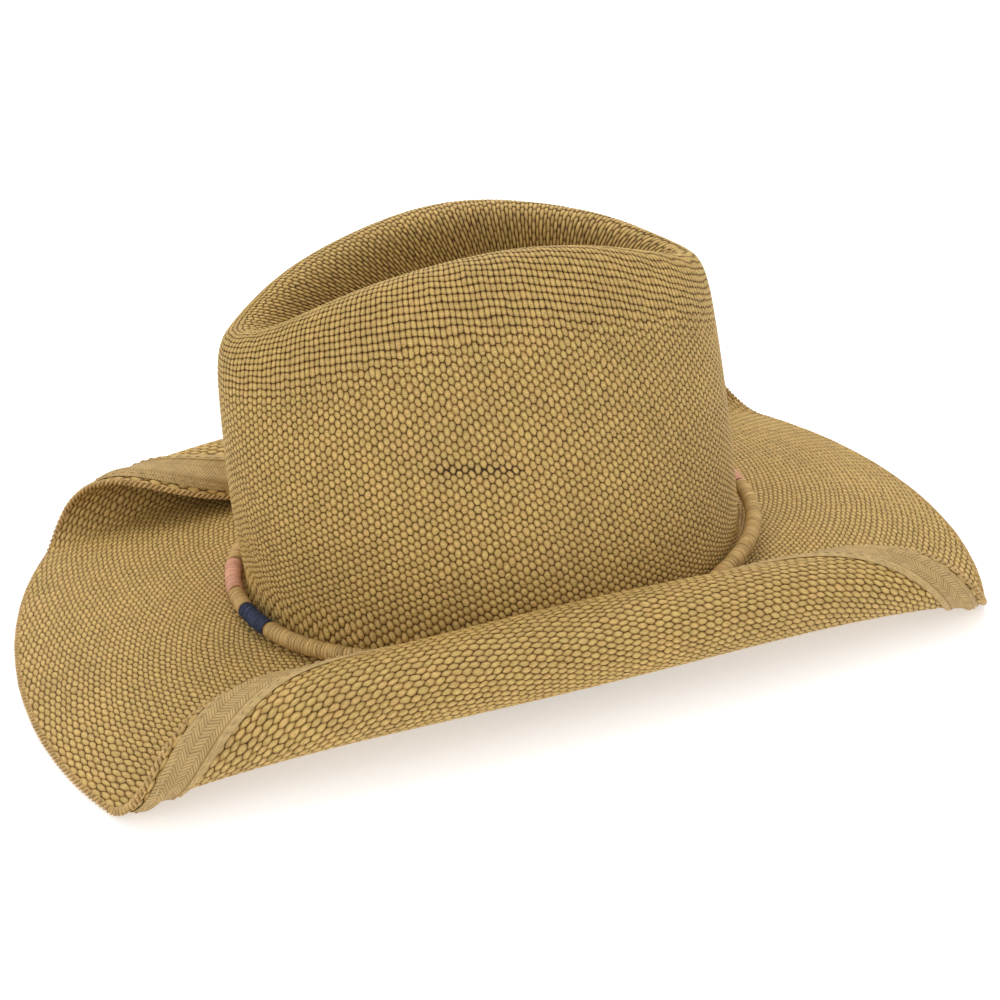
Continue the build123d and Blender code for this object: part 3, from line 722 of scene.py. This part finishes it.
class Skin:
    """One skin of woven straw as a grid of points, with its weave's coordinates."""

    def __init__(self, turned, points, v, at, columns):
        down, at = v[:, None], at[:, None]
        self.columns, self.turned = columns, turned
        self.u_edges = np.arange(columns * PER_COLUMN + 1) / PER_COLUMN
        self.u = self.u_edges[None, :-1]
        across = np.roll(points, -1, 1) - np.roll(points, 1, 1)
        self.wide = unit(np.cross(across, np.gradient(points, axis=0)))
        on_crown = smooth(0.0, 12.0, down)
        self.in_crease = smooth(CREASE_FROM, CREASE_TO, at)
        dents = waves(turned, down / 22.0, 9, 3) * on_crown * DENTS
        dents = dents * smooth(TIP_RING, 0.9, at)
        self.points = points + self.wide * dents[..., None]
        self.column_width = np.linalg.norm(np.roll(points, -1, 1) - points, axis=2) * PER_COLUMN
        lean = -ROWS_LEAN * on_crown * (1.0 - smooth(0.5, 0.95, at)) * np.cos(turned)
        self.v = down + lean + waves(turned, down / 7.0, 40, 5) * 0.16
        self.v = self.v + grain(self.u, down, columns, 51) * JITTER_ALONG
        self.u_shift = waves(turned, down / 5.0, 24, 8) * 0.05
        self.u_shift = self.u_shift + grain(self.u + 0.5, down, columns, 52) * JITTER_ACROSS
        self.thicker = 1.0 + JITTER_HEIGHT * grain(self.u, down + 0.5, columns, 53)
        self.joined = smooth(0.0, 0.8, np.abs(down))
        upper = smooth(UPPER_FROM, UPPER_TO, at) * (1.0 - self.in_crease)
        wall = (1.0 - upper) * (1.0 - self.in_crease)
        self.flat = np.zeros(turned.shape)
        self.stagger = self.flat + 0.5 * (1.0 - upper)
        pointed = POINTED_UPPER * upper + POINTED_CREASE * self.in_crease
        pointed = pointed + wall * (POINTED_BRIM + (POINTED_WALL - POINTED_BRIM) * on_crown)
        self.pointed = self.flat + pointed
        row = np.interp(HOLES_AT, at[:, 0], v) if at[-1, 0] > 0 else 1e3
        row = row - ROWS_LEAN * np.cos(HOLES_ANGLE)
        self.holes = np.exp(-(((down + lean - row) / HOLES_HEIGHT) ** 2))
        self.holes = self.holes * smooth(1.25, 0.8, np.abs(turned - HOLES_ANGLE) / HOLES_SPREAD)
        self.holes = self.holes + 0.35 * smooth(0.8, 1.5, waves(turned, down / 2.0, 60, 21))

    def relief(self):
        """Height of the straw above the sheet's own skin, in millimetres."""
        narrowed = CREASE_BIAS * self.in_crease
        rise, edge = floats(self.u + self.u_shift, self.v, self.stagger, self.pointed, narrowed)
        depth = np.clip(self.column_width * RELIEF_SHARE, 0.05, RELIEF_MOST) * self.thicker
        height = 0.7 * smooth(0.0, 1.0, rise) + 0.3 * smooth(0.0, 0.25, edge) - RELIEF_LEVEL
        return depth * self.joined * (height - self.holes * (1.0 - rise) * 0.8)

    def piece(self, name, inward, every=1, cap=False):
        """The skin, or the sheet's inward face, with its straw raised.

        A cap closes the crown's skins at the crease with a small fan."""
        columns = self.columns * PER_COLUMN // every
        depth = -(SHEET_THICK + self.relief()) if inward else self.relief()
        points, v = (self.points + self.wide * depth[..., None])[:, ::every], self.v[:, ::every]
        edges = self.u_edges[::every]
        uvs = [ring_uvs(edges, v, inward)]
        uvs[0][..., 0] += ring_uvs(edges, self.u_shift[:, ::every], inward)[..., 1]
        faces = [ring_quads(len(points), columns, inward)]
        values = {"stagger": self.stagger, "pointed": self.pointed, "hole": self.holes,
                  "radial": self.flat + self.in_crease}
        values = {key: each[:, ::every] for key, each in values.items()}
        if cap:
            rim = (len(points) - 1) * columns + np.arange(columns)
            faces.append(fan(rim, points[..., 0].size, inward))
            fan_u = np.stack([edges[:-1], edges[1:], edges[:-1]], -1)
            fan_v = np.stack([v[-1], np.roll(v[-1], -1), v[-1] + 1.0], -1)
            fan_uv = np.stack([fan_u, fan_v], -1)
            uvs.append(fan_uv[:, ::-1] if inward else fan_uv)
            points = np.concatenate([points.reshape(-1, 3), points[-1].mean(0)[None]])
            values = {key: np.append(each.ravel(), each[-1, 0]) for key, each in values.items()}
        return mesh_object(name, points, faces, uvs, values)


crown = Skin(*crown_skin(), CROWN_COLUMNS)
brim = Skin(*brim_skin(), BRIM_COLUMNS)
crown_straw = straw_material("straw_of_crown", CROWN_COLUMNS)
brim_straw = straw_material("straw_of_brim", BRIM_COLUMNS)
for piece, straw in (
    (crown.piece("straw_crown", False, cap=True), crown_straw),
    (brim.piece("straw_brim_top", False), brim_straw),
    (brim.piece("straw_brim_underside", True), brim_straw),
    (crown.piece("straw_crown_inside", True, every=2, cap=True), crown_straw),
):
    finished(piece, straw, "straw", "woven_body")

# ---- selvedge


def circle(first, second, sides):
    """Directions round a strand's section, from its first and second at each point."""
    theta = around(sides)[None, :, None]
    return np.cos(theta) * first[:, None] + np.sin(theta) * second[:, None]


def swept(centres, first, second, radius, sides, u, closed=True, depth=None):
    """Points, faces, coordinates and depth of a round strand along centres."""
    points = centres[:, None] + circle(first, second, sides) * radius
    if closed:
        u = np.append(u, 2 * u[-1] - u[-2])
    quads = ring_quads(len(u), sides) % (len(centres) * sides)
    v = np.broadcast_to(u[:, None], (len(u), sides))
    uv = ring_uvs(np.arange(sides + 1) / sides, v)[..., ::-1]
    level = np.ones(points.shape[:2]) if depth is None else depth
    return points, quads, uv, level


def joined(name, parts):
    """One mesh from several swept strands."""
    points, quads, uvs, depths = zip(*parts)
    points, depths = [p.reshape(-1, 3) for p in points], [d.ravel() for d in depths]
    firsts = np.cumsum([0] + [len(p) for p in points])
    quads = [faces + first for faces, first in zip(quads, firsts)]
    return mesh_object(name, np.concatenate(points), [np.concatenate(quads)],
                       [np.concatenate(uvs)], {"depth": np.concatenate(depths)})


# Two thick straws twined round each other
SELVEDGE_PITCH = 4.4
SELVEDGE_STRANDS = 2
SELVEDGE_STRAND_RADIUS = 0.95
SELVEDGE_OFFSET = 0.62
SELVEDGE_POINTS = 2880
SELVEDGE_SIDES = 10


def selvedge():
    """The twined cord that finishes the brim's edge."""
    turn = around(SELVEDGE_POINTS)
    centre, outward, upward, along = brim_frame(turn, SELVEDGE_DIA / 2 - 0.1)
    centre = centre - upward * SHEET_THICK / 2
    length = arc_lengths(centre)
    turns = round(length[-1] / SELVEDGE_PITCH)
    # painted shade on the side of each strand that faces the cord's middle, where the strands meet;
    # the outer side stays light
    outer = smooth(-0.6, 0.9, np.cos(around(SELVEDGE_SIDES)))
    level = np.broadcast_to(0.35 + 0.65 * outer, (SELVEDGE_POINTS, SELVEDGE_SIDES))
    parts = []
    for strand in range(SELVEDGE_STRANDS):
        phase = length[:-1] / length[-1] * turns * 2 * np.pi
        phase = phase + strand * 2 * np.pi / SELVEDGE_STRANDS
        wobble = 1.0 + 0.08 * np.sin(turn * 37 + strand) + 0.05 * np.sin(turn * 91)
        offset = np.cos(phase)[:, None] * outward + np.sin(phase)[:, None] * upward
        path = centre + offset * (SELVEDGE_OFFSET * wobble)[:, None]
        side = unit(np.cross(along, offset))
        u = length[:-1] / SELVEDGE_PITCH * 2
        radius = SELVEDGE_STRAND_RADIUS
        parts.append(swept(path, offset, side, radius, SELVEDGE_SIDES, u, depth=level))
    return joined("selvedge", parts)


# the cord's painted shade, body and painted highlight colours
cord_straw = strand_material("straw_cord", (118, 82, 34), (182, 147, 90), (206, 174, 118), 2.0)
finished(selvedge(), cord_straw, "straw_cord", "selvedge_cord")

# ---- edge tape and stitches


def wire_rise(turn):
    """How far the wire lifts the tape: more at its sleeve, at the back."""
    degrees = np.degrees(np.minimum(turn % (2 * np.pi), 2 * np.pi - turn % (2 * np.pi)))
    near_sleeve = smooth(SLEEVE_RISE_ANGLE * 2, SLEEVE_RISE_ANGLE, 180.0 - degrees)
    return WIRE_RISE + (SLEEVE_RISE - WIRE_RISE) * near_sleeve


def tape_surface(turn, inset, extra):
    """Points extra below the tape's upper face, with the brim's directions up and along."""
    centre, _, upward, along = brim_frame(turn, inset)
    hump = np.exp(-(((inset - WIRE_INSET) / WIRE_RISE_SPREAD) ** 2))
    depth = SHEET_THICK + TAPE_GAP + wire_rise(turn) * hump + extra
    return centre - upward * depth[..., None], upward, along


def closed_band(name, points, length, v, flip=False):
    """A flat closed band from the rows of points round its section, and each row's v."""
    rows, count = points.shape[:2]
    quads = ring_quads(rows + 1, count, flip) % (rows * count)
    v = np.broadcast_to(np.append(v, v[0])[:, None], (rows + 1, count))
    return mesh_object(name, points, [quads], [ring_uvs(length, v, flip)])


def edge_tape():
    """The tape as a closed band, and its length."""
    count = 1440
    turn = around(count)
    across = np.linspace(0.0, 1.0, 25)
    inset = TAPE_INSET + across * TAPE_WIDTH
    # the inner border is folded under and stands a little proud of the tape
    fold = smooth(TAPE_WIDTH - TAPE_FOLD - 0.5, TAPE_WIDTH - TAPE_FOLD, across * TAPE_WIDTH)
    rounded = np.sqrt(np.clip(1.0 - (2 * across - 1.0) ** 16, 0.0, 1.0))
    rim = brim_frame(turn, TAPE_INSET)[0]
    length = arc_lengths(rim)
    upper = TAPE_THICK * 0.5 * (1.0 - rounded)
    lower = upper + (TAPE_THICK + TAPE_FOLD_RISE * fold) * rounded
    section = np.concatenate([inset, inset[::-1]])
    extras = np.concatenate([lower, upper[::-1]])
    loops = [tape_surface(turn, np.full(count, i), e)[0] for i, e in zip(section, extras)]
    v = section - TAPE_INSET
    return closed_band("brim_tape", np.stack(loops), length, v, True), length[-1]


tape, tape_length = edge_tape()
finished(tape, tape_material(), "herringbone_tape", "edge_tape")

STITCH_LENGTH = 3.4
STITCH_GAP = 1.1
STITCH_RADIUS = 0.27
STITCH_POINTS = 7


def stitches(name, place, length):
    """A row of sewn stitches along a seam of this length.

    place(turn) gives points and their directions outward and along."""
    count = round(length / (STITCH_LENGTH + STITCH_GAP))
    half = np.pi / count * STITCH_LENGTH / (STITCH_LENGTH + STITCH_GAP)
    ends = np.linspace(-1.0, 1.0, STITCH_POINTS)
    arch = np.cos(ends * np.pi / 2)
    thick = STITCH_RADIUS * (0.45 + 0.55 * arch)[:, None, None]
    parts = []
    for k in range(count):
        middle = (k + 0.5) / count * 2 * np.pi
        turn = middle + half * ends * random.uniform(0.92, 1.06)
        point, outward, along = place(turn)
        lean = random.uniform(-0.12, 0.12) * ends[:, None]
        side = unit(np.cross(outward, along))
        path = point + outward * (STITCH_RADIUS * (1.5 * arch - 0.6))[:, None] + side * lean
        u = k + np.linspace(0.0, 1.0, STITCH_POINTS)
        parts.append(swept(path, outward, side, thick, 6, u, closed=False))
    return joined(name, parts)


# the thread's shade, body and painted highlight colours
thread = strand_material("sewing_thread", (110, 82, 42), (188, 158, 104), (214, 190, 142))
for name, inset, node in (
    ("tape_stitches_outer", TAPE_INSET + STITCH_MARGIN, "edge_tape_thread_outer"),
    ("tape_stitches_inner", TAPE_INSET + TAPE_WIDTH - STITCH_MARGIN, "edge_tape_thread_inner"),
):
    proud = TAPE_THICK + (TAPE_FOLD_RISE if "inner" in name else 0.0)

    def on_tape(turn, inset=inset, proud=proud):
        point, upward, along = tape_surface(turn, np.full(len(turn), inset), proud)
        return point, -upward, along

    finished(stitches(name, on_tape, tape_length), thread, "sewing_thread", node)

# ---- sweatband


def wall_ring(turn, heights, depth):
    """Points inside the crown's wall at heights, depth under its skin."""
    grid = crown_grid(turn, np.linspace(0.02, 0.6, 160))
    normal = unit(np.cross(np.gradient(grid, axis=1), np.gradient(grid, axis=0)))
    inner = grid - normal * depth
    rows = np.empty((len(heights), len(turn), 3))
    rows[..., 2] = heights[:, None]
    for column, (x, y, z) in enumerate(inner.transpose(1, 2, 0)):
        rows[:, column, 0] = np.interp(heights, z, x)
        rows[:, column, 1] = np.interp(heights, z, y)
    return rows


def sweatband():
    """The ribbon inside the crown's foot as a closed band, and its length."""
    count = 720
    # two extra columns at each end, as wall_ring needs neighbours on both sides
    turn = np.arange(-2, count + 2) * (2 * np.pi / count)
    heights = np.linspace(SWEATBAND_LOW, SWEATBAND_HIGH, 22)
    across = np.linspace(0.0, 1.0, 22)
    rounded = np.sqrt(np.clip(1.0 - (2 * across - 1.0) ** 14, 0.0, 1.0))
    near = SHEET_THICK + SWEATBAND_GAP
    outside = wall_ring(turn, heights, near)[:, 2:-2]
    inside = wall_ring(turn, heights, near + SWEATBAND_THICK)[:, 2:-2]
    middle = (outside + inside) / 2
    slack = waves(turn[None, 2:-2], across[:, None] * 3, 14, 31)[..., None] * 0.15
    outside = middle + (outside - middle) * rounded[:, None, None]
    inside = middle + (inside - middle) * (rounded[:, None, None] + slack)
    points = np.concatenate([outside, inside[::-1]])
    v = np.concatenate([heights, heights[::-1]])
    length = arc_lengths(middle[10])
    return closed_band("sweatband_ribbon", points, length, v), length[-1]


ribbon, ribbon_length = sweatband()
ribbon_look = ribbon_material("sweatband_fabric", (92, 70, 38), (186, 158, 108), 1.1)
finished(ribbon, ribbon_look, "sweatband_fabric", "sweatband")


def in_crown(turn):
    """Where the sweatband's stitches lie, and their directions inward and along."""
    near = SHEET_THICK + SWEATBAND_GAP + SWEATBAND_THICK
    wider = np.concatenate([[2 * turn[0] - turn[1]], turn, [2 * turn[-1] - turn[-2]]])
    rows = wall_ring(wider, SWEATBAND_STITCH_HEIGHT + np.array([-0.4, 0.0, 0.4]), near)
    along = unit(rows[1, 2:] - rows[1, :-2])
    inward = unit(np.cross(rows[2, 1:-1] - rows[0, 1:-1], along))
    centre = np.array([0.0, 0.0, SWEATBAND_STITCH_HEIGHT])
    flip = np.sign(((centre - rows[1, 1:-1]) * inward).sum(-1, keepdims=True))
    return rows[1, 1:-1], inward * flip, along


finished(stitches("sweatband_stitches", in_crown, ribbon_length), thread,
         "sewing_thread", "sweatband_thread")

# ---- hat band

# Step from thread to thread and how far each stands out, in millimetres, and the points of
# one turn of thread along and round the band
BAND_PITCH = 1.3
BAND_RIDGE = 0.58
BAND_PER_TURN = 6
BAND_SIDES = 26
# The painted shade in the grooves, the body and the painted highlight on the crests of each
# thread, as display colours
NATURAL = ((96, 60, 18), (188, 152, 90), (222, 190, 130))
PINK = ((146, 82, 56), (218, 154, 122), (240, 194, 164))
NAVY = ((10, 11, 18), (34, 42, 66), (78, 88, 118))


def leaned(vectors):
    """Vectors turned as the band is, which rises towards the hat's back."""
    cosine, sine = math.cos(BAND_TILT), math.sin(BAND_TILT)
    x, y, z = np.moveaxis(np.asarray(vectors, float), -1, 0)
    return np.stack([x, y * cosine - z * sine, y * sine + z * cosine], -1)


BAND_UP = leaned(UP)
BAND_PIVOT = np.array([0.0, -FOOT_HALF_LENGTH - BAND_REACH, BAND_HEIGHT])


def band_line(degrees):
    """The cord's centre and its directions out and along at angles round the hat."""
    long_half = FOOT_HALF_LENGTH + BAND_REACH
    wide_half = FOOT_HALF_WIDTH + BAND_REACH
    end_radius = wide_half**2 / long_half * BAND_END_ROUND
    end_y = long_half - end_radius
    side_radius = (wide_half**2 + end_y**2 - end_radius**2) / (2 * (wide_half - end_radius))
    side_x = side_radius - wide_half
    split = math.degrees(math.atan2(side_x, end_y))
    turn = (degrees + 180.0) % 360.0 - 180.0
    at_front, at_back = np.abs(turn) <= split, np.abs(turn) >= 180.0 - split
    side = np.where(turn > 0, 1.0, -1.0)
    x = np.where(at_front | at_back, 0.0, -side * side_x)
    y = np.where(at_front, -end_y, np.where(at_back, end_y, 0.0))
    radius = np.where(at_front | at_back, end_radius, side_radius)
    a = np.radians(degrees - 90.0)
    zero = np.zeros_like(a)
    out = np.stack([np.cos(a), np.sin(a), zero], -1)
    centre = np.stack([x, y, zero + BAND_HEIGHT], -1) + out * radius[:, None]
    along = np.stack([-np.sin(a), np.cos(a), zero], -1)
    return BAND_PIVOT + leaned(centre - BAND_PIVOT), leaned(out), leaned(along)


def slow_noise(pick, k, turns, spread, every, extra):
    """Values at the turns k that drift between random ones, every so many turns apart."""
    at = np.arange(0, turns + extra, every)
    return np.interp(k, at, pick.normal(0.0, spread, len(at)))[:, None]


def wrap(name, start, end, seed):
    """A run of thread wound round the cord, turn against turn."""
    pick = np.random.default_rng(seed)
    fine = np.linspace(start, end, max(60, int((end - start) * 8)))
    steps = np.linalg.norm(np.diff(band_line(fine)[0], axis=0), axis=1)
    length = np.concatenate([[0.0], np.cumsum(steps)])
    turns = max(4, round(length[-1] / BAND_PITCH))
    rings = turns * BAND_PER_TURN + 1
    centre, out, _ = band_line(np.interp(np.linspace(0.0, length[-1], rings), length, fine))
    theta = around(BAND_SIDES)
    k = np.arange(rings) / BAND_PER_TURN
    phase = k[:, None] + theta[None] / (2 * np.pi) + slow_noise(pick, k, turns, 0.16, 1, 2)
    phase = phase + slow_noise(pick, k, turns, 0.35, 4, 9) * np.sin(theta[None] + 0.7)
    place = np.abs(2 * (phase % 1.0) - 1.0)
    bulge = np.sqrt(np.clip(1.0 - place**1.8, 0.0, 1.0))
    girth = 1.0 + 0.03 * slow_noise(pick, k, turns, 1.0, 3, 7)
    # the first and last turns dip towards the cord
    dip = (1.0 - np.minimum(k, turns - k) / 0.6).clip(0.0, 1.0)
    ends = np.sqrt(np.clip(1.0 - dip**2, 0.35, 1.0))[:, None]
    radius = ((BAND_WRAP_RADIUS - BAND_RIDGE) * girth + BAND_RIDGE * bulge) * ends
    ring = circle(out, BAND_UP[None], BAND_SIDES)
    points = (centre[:, None] + ring * radius[..., None]).reshape(-1, 3)
    uv = ring_uvs(np.arange(BAND_SIDES + 1) / BAND_SIDES, phase)[..., ::-1]
    # painted shade: the depth attribute follows the bulge, low in the grooves between turns and at
    # the end caps, so the strand material darkens them and highlights the crests
    level = bulge.ravel()
    fans, fan_uvs = [], []
    for row, flip in ((0, True), (rings - 1, False)):
        rim = row * BAND_SIDES + np.arange(BAND_SIDES)
        fans.append(fan(rim, len(points), flip))
        fan_uvs.append(np.zeros((BAND_SIDES, 3, 2)) + [k[row], 0.5])
        points = np.concatenate([points, centre[row][None]])
        level = np.append(level, 0.2)
    faces = [ring_quads(rings, BAND_SIDES), np.concatenate(fans)]
    return mesh_object(name, points, faces, [uv, np.concatenate(fan_uvs)], {"depth": level})


FUZZ_POINTS = 7
FUZZ_RADIUS = 0.075


def fuzz(name, start, end, count, seed):
    """Loose fibre ends that stand off a wrap."""
    pick = np.random.default_rng(seed)
    s = np.linspace(0.0, 1.0, FUZZ_POINTS)
    thin = (FUZZ_RADIUS * (1.0 - 0.6 * s))[:, None, None]
    parts = []
    for _ in range(count):
        degrees = pick.uniform(start, end)
        centre, out, along = (a[0] for a in band_line(np.array([degrees])))
        theta = pick.uniform(-0.5, np.pi + 0.9)
        radial = np.cos(theta) * out + np.sin(theta) * UP
        lean = unit(radial * pick.uniform(0.3, 1.0) + along * pick.normal(0, 0.9)
                    + UP * pick.normal(0, 0.2))
        curl = unit(pick.normal(0, 1, 3))
        length = pick.uniform(1.0, 3.4)
        path = (centre + radial * (BAND_WRAP_RADIUS - 0.15)) + s[:, None] * length * lean
        path = path + (s**2)[:, None] * curl * length * 0.45
        first = unit(np.cross(lean, curl))
        second = np.cross(lean, first)
        parts.append(swept(path, first[None], second[None], thin, 4, s, closed=False))
    return joined(name, parts)


THREADS = {
    "natural": ("natural_wrap", NATURAL),
    "pink": ("pink_thread", PINK),
    "navy": ("navy_thread", NAVY),
}
looks = {thread: strand_material(slot, *tones) for thread, (slot, tones) in THREADS.items()}
# Each run of thread: its thread, side of the hat, first and last angle in degrees
BAND_RUNS = (
    ("pink", "front", -19.0, -2.0),
    ("natural", "front", -1.8, 8.4),
    ("navy", "front", 8.6, 22.5),
    ("natural", "left", 22.7, 173.8),
    ("pink", "back", 174.0, 191.0),
    ("natural", "back", 191.2, 200.8),
    ("navy", "back", 201.0, 215.0),
    ("natural", "right", 215.2, 340.8),
)
for k, (thread_name, side, start, end) in enumerate(BAND_RUNS):
    name, look, slot = f"{thread_name}_{side}", looks[thread_name], THREADS[thread_name][0]
    finished(wrap("wrap_" + name, start, end, 40 + k), look, slot, "band_wrap_" + name)
    hairs = 70 if thread_name == "navy" else int((end - start) * 1.1) + 4
    finished(fuzz("fuzz_" + name, start, end, hairs, 70 + k), look, slot)

# ---- CAD pieces that stay

for node, look in (
    ("brim_wire", metal_material("shaping_wire", (150, 152, 156), (190, 192, 196))),
    ("wire_sleeve", metal_material("crimp_sleeve", (170, 168, 160), (205, 203, 196))),
    ("band_core", looks["natural"]),
    ("band_tacks", looks["natural"]),
    ("sweatband_seam_patch", ribbon_look),
):
    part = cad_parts[node]
    part.data.materials.clear()
    part.data.materials.append(look)

# ---- floor, light, camera

FLOOR_HALF = 6.0
bpy.ops.mesh.primitive_plane_add(size=2 * FLOOR_HALF)
floor = bpy.context.object
floor.name = "floor"
paper = Shader("floor")
speckle = paper.noise(paper.place(), 60.0, 4.0, 0.6)
paper_tone = paper.blend(speckle, (0.80, 0.80, 0.80, 1.0), (0.83, 0.83, 0.83, 1.0))
floor.data.materials.append(paper.finish(paper_tone, 0.9, speckle, 0.0002, 0.1,
                                         Emission_Color=(1.0, 1.0, 1.0, 1.0),
                                         Emission_Strength=0.45))

world = bpy.data.worlds.new("studio")
bpy.context.scene.world = world
world.use_nodes = True
sky = world.node_tree.nodes["Background"]
sky.inputs["Color"].default_value = (1.0, 1.0, 1.0, 1.0)
sky.inputs["Strength"].default_value = 0.82


LIGHTS_AIM = Vector((0.0, 0.0, 0.07))


def direction(azimuth, elevation):
    """The way from the hat to a light or camera, in degrees from its front and up."""
    a, e = math.radians(azimuth), math.radians(elevation)
    return Vector((math.sin(a) * math.cos(e), -math.cos(a) * math.cos(e), math.sin(e)))


def softbox(name, azimuth, elevation, distance, size, power):
    """A square light that faces the hat's middle."""
    data = bpy.data.lights.new(name, "AREA")
    data.shape = "SQUARE"
    data.size = size
    data.energy = power
    light = bpy.data.objects.new(name, data)
    bpy.context.scene.collection.objects.link(light)
    away = direction(azimuth, elevation)
    light.location = LIGHTS_AIM + away * distance
    light.rotation_mode = "QUATERNION"
    light.rotation_quaternion = (-away).to_track_quat("-Z", "Y")


softbox("key", 250.0, 68.0, 1.5, 1.2, 11.0)
softbox("fill", 30.0, 40.0, 1.7, 1.2, 3.5)

# The camera stands off the hat's near side, a little ahead of it and above
CAMERA_AZIMUTH = 70.1
CAMERA_ELEVATION = 25.7
CAMERA_ROLL = math.radians(-1.6)
CAMERA_DISTANCE = 0.6505
CAMERA_TARGET = Vector((0.0, -0.002, 0.0766))

camera_data = bpy.data.cameras.new("camera")
camera_data.lens = 57.98
camera_data.sensor_width = 36.0
camera_data.shift_x = 0.0066
camera_data.shift_y = -0.0835
camera = bpy.data.objects.new("camera", camera_data)
bpy.context.scene.collection.objects.link(camera)
back = direction(CAMERA_AZIMUTH, CAMERA_ELEVATION)
level_right = direction(CAMERA_AZIMUTH + 90.0, 0.0)
level_up = back.cross(level_right)
right = level_right * math.cos(CAMERA_ROLL) + level_up * math.sin(CAMERA_ROLL)
above = level_up * math.cos(CAMERA_ROLL) - level_right * math.sin(CAMERA_ROLL)
turned = Matrix((right, above, back)).transposed().to_4x4()
camera.matrix_world = Matrix.Translation(CAMERA_TARGET + back * CAMERA_DISTANCE) @ turned
bpy.context.scene.camera = camera
bpy.context.scene.view_settings.view_transform = "Standard"
